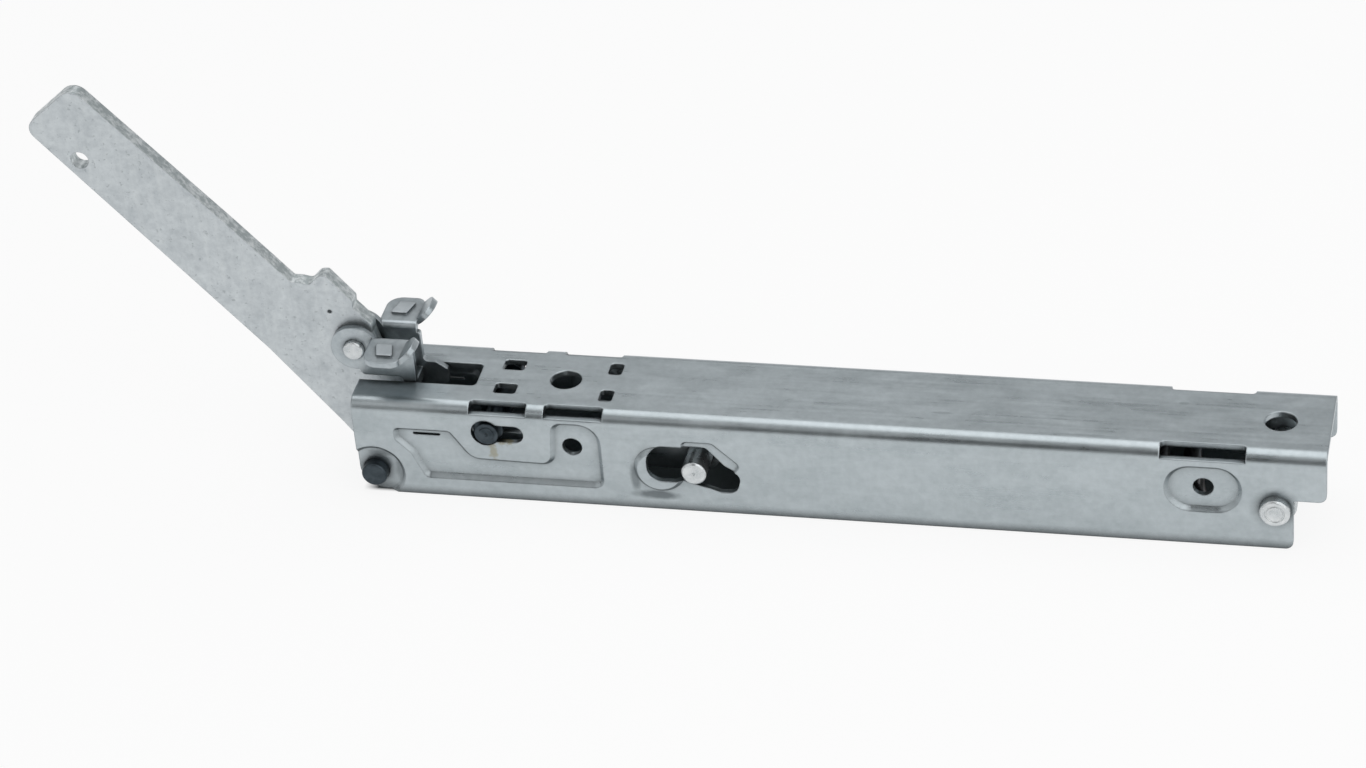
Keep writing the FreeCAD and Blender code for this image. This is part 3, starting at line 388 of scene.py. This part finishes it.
def turned_metal(name, tones, smooth, rough, edge):
    """Rivets, pins and washers: turned or headed steel with small pits and rounded edges."""
    s = material_nodes(name)
    cloud = s.noise(500, 5, bend=0.5)
    colour = s.mix(s.spread(cloud, 0.0, 1.0), *tones)
    normal = s.bump(s.noise(2600, 2), 0.3, 0.00005, s.edge_normal(edge))
    return s.metal(colour, s.spread(cloud, smooth, rough), normal, 0.95)


def spring_wire():
    """Drawn spring wire: dark, with a light oil sheen and fine draw marks."""
    s = material_nodes("spring_wire")
    marks = s.noise(900, 5, 0.7)
    colour = s.mix(s.spread(marks, 0.0, 1.0), *WIRE_TONES)
    return s.metal(colour, s.spread(marks, 0.25, 0.42), s.bump(marks, 0.2, 0.00004), 0.9)


def hook_points(centre, pin_radius, target):
    """Open loop round a pin, from its free end to where it runs off to the coil."""
    radius = pin_radius + HOOK_GAP + WIRE_RADIUS
    gap = target - centre
    side = 1 if gap.x > 0 else -1
    leave = math.atan2(gap.z, gap.x) - side * math.acos(radius / gap.length)
    points = []
    for i in range(HOOK_STEPS + 1):
        angle = leave - side * HOOK_SWEEP * (1 - i / HOOK_STEPS)
        points.append(centre + Vector((math.cos(angle), 0, math.sin(angle))) * radius)
    points.append(target - (target - points[-1]).normalized() * 2 * WIRE_RADIUS)
    return points


def spring_line():
    """Middle of the wire: front hook, coil and rear hook."""
    axis_z = (SPRING_PIN.z + ANCHOR.z) / 2
    low = axis_z - COIL_RADIUS
    front = hook_points(SPRING_PIN, SPRING_PIN_RADIUS, Vector((COIL_START, 0, low)))
    rear = hook_points(ANCHOR, ANCHOR_RADIUS, Vector((COIL_END, 0, low)))
    steps = COIL_TURNS * TURN_STEPS
    coil = []
    for i in range(COIL_LEAD, steps - COIL_LEAD + 1):
        angle = 2 * math.pi * i / TURN_STEPS
        x = COIL_START + (COIL_END - COIL_START) * i / steps
        y = COIL_RADIUS * math.sin(angle)
        coil.append(Vector((x, y, axis_z - COIL_RADIUS * math.cos(angle))))
    return front + coil + rear[::-1]


def round_wire(name, line):
    """Closed round wire along a line of points."""
    verts = []
    faces = []
    normal = Vector((0, 1, 0))
    for i, point in enumerate(line):
        heading = (line[min(i + 1, len(line) - 1)] - line[max(i - 1, 0)]).normalized()
        normal = (normal - heading * normal.dot(heading)).normalized()
        across = heading.cross(normal)
        for k in range(WIRE_SIDES):
            angle = 2 * math.pi * k / WIRE_SIDES
            ray = normal * math.cos(angle) + across * math.sin(angle)
            verts.append(point + ray * WIRE_RADIUS)
    last = (len(line) - 1) * WIRE_SIDES
    for ring in range(0, last, WIRE_SIDES):
        after = ring + WIRE_SIDES
        for k in range(WIRE_SIDES):
            j = (k + 1) % WIRE_SIDES
            faces.append((ring + k, ring + j, after + j, after + k))
    faces.append(tuple(reversed(range(WIRE_SIDES))))
    faces.append(tuple(range(last, last + WIRE_SIDES)))
    mesh = bpy.data.meshes.new(name)
    mesh.from_pydata([tuple(v) for v in verts], [], faces)
    mesh.update()
    for polygon in mesh.polygons:
        polygon.use_smooth = True
    return mesh


def make_spring():
    mesh = round_wire("spring_coil", spring_line())
    mesh.materials.append(spring_wire())
    coil = bpy.data.objects.new("spring_coil", mesh)
    bpy.context.scene.collection.objects.link(coil)
    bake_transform(coil)
    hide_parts("main_spring")


def dress():
    """Gives every CAD node its material; small turned parts that aren't listed are bright."""
    sheet = plated_sheet()
    dark = turned_metal("dark_pin", DARK_TONES, 0.30, 0.46, 0.00025)
    bright = turned_metal("bright_pin", BRIGHT_TONES, 0.22, 0.36, 0.0002)
    finishes = {
        "channel": sheet, "link_plate_near": sheet, "link_plate_far": sheet,
        "arm": arm_plate(), "lock_clip": clip_sheet(),
        "pivot_rivet": dark, "follower_pin": dark, "follower_sleeve": dark, "crank_pin": dark,
        "follower_collar_near": dark, "follower_collar_far": dark,
    }
    for node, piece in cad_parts.items():
        piece.data.materials.clear()
        piece.data.materials.append(finishes.get(node, bright))


def floor_material():
    """Pale floor that is nearly white to the camera and in the metal, and keeps a soft shadow; where
    the channel stands over it, a painted shadow in dark grey without glow.
    """
    s = material_nodes("floor_pale")
    shadowed_ground = s.under_channel()
    colour = s.mix(s.noise(3, 2), *FLOOR_TONES)
    matte = s.node("ShaderNodeBsdfDiffuse")
    # Painted shadow: the floor under the channel is dark grey
    s.link(s.mix(shadowed_ground, colour, PAINTED_SHADOW_GREY), matte.inputs["Color"])
    glow = s.node("ShaderNodeEmission")
    rays = s.node("ShaderNodeLightPath").outputs
    to_camera = s.math("MAXIMUM", rays["Is Camera Ray"], rays["Is Transmission Ray"])
    to_metal = s.times(rays["Is Glossy Ray"], GLOW_TO_METAL)
    share = s.math("MAXIMUM", s.times(to_camera, GLOW_TO_CAMERA), to_metal)
    # No glow on the painted shadow under the channel
    share = s.times(share, s.math("SUBTRACT", 1.0, shadowed_ground))
    return s.blended(share, matte.outputs["BSDF"], glow.outputs["Emission"])


def make_floor():
    bpy.ops.mesh.primitive_plane_add(size=FLOOR_SIZE, location=(0, 0, CHANNEL_LOW.z - FLOOR_GAP))
    floor = bpy.context.object
    floor.name = "floor"
    floor.data.materials.append(floor_material())


def sky_ramp(nodes, height, stops):
    """Grey level of the room by height above the horizon."""
    ramp = nodes.node("ShaderNodeValToRGB")
    nodes.link(height, ramp.inputs["Fac"])
    points = ramp.color_ramp.elements
    points[0].position = stops[0][0]
    points[1].position = stops[-1][0]
    for stop in stops[1:-1]:
        points.new(stop[0])
    for point, stop in zip(points, stops):
        point.color = (*(stop[1] * tint for tint in SKY_TINT), 1)
    return ramp.outputs["Color"]


def make_world():
    """Pale to the camera; for the metal, a room that is dark low on the near side."""
    world = bpy.data.worlds.new("studio")
    bpy.context.scene.world = world
    s = Nodes(world, "ShaderNodeOutputWorld")
    at = s.axes("Generated")
    near = sky_ramp(s, at["Z"], NEAR_SKY)
    far = sky_ramp(s, at["Z"], FAR_SKY)
    side = s.remap(at["Y"], -SKY_BLEND, SKY_BLEND, interpolation="SMOOTHSTEP")
    room = s.node("ShaderNodeBackground")
    s.link(s.mix(side, near, far), room.inputs["Color"])
    backdrop = s.node("ShaderNodeBackground")
    rays = s.node("ShaderNodeLightPath").outputs
    s.blended(rays["Is Camera Ray"], room.outputs["Background"], backdrop.outputs["Background"])


def make_lamp(name, at, toward, size, power):
    light = bpy.data.lights.new(name, "AREA")
    light.shape = "RECTANGLE"
    light.size, light.size_y = size
    light.energy = power
    lamp = bpy.data.objects.new(name, light)
    bpy.context.scene.collection.objects.link(lamp)
    lamp.location = at
    lamp.rotation_euler = (Vector(toward) - Vector(at)).to_track_quat("-Z", "Y").to_euler()


def make_camera():
    forward = Vector(CAMERA_FORWARD).normalized()
    right = forward.cross(Vector(CAMERA_UP)).normalized()
    turn = Matrix((right, right.cross(forward), -forward)).transposed().to_4x4()
    data = bpy.data.cameras.new("camera")
    data.lens = CAMERA_LENS
    data.sensor_fit = "HORIZONTAL"
    data.sensor_width = SENSOR_WIDTH
    data.clip_start = CAMERA_NEAR
    data.clip_end = CAMERA_FAR
    camera = bpy.data.objects.new("camera", data)
    bpy.context.scene.collection.objects.link(camera)
    camera.matrix_world = Matrix.Translation(CAMERA_AT) @ turn
    bpy.context.scene.camera = camera


dress()
make_spring()
make_floor()
make_world()
for lamp_name, lamp_values in LAMPS.items():
    make_lamp(lamp_name, *lamp_values)
make_camera()
bpy.context.scene.view_settings.view_transform = "Standard"
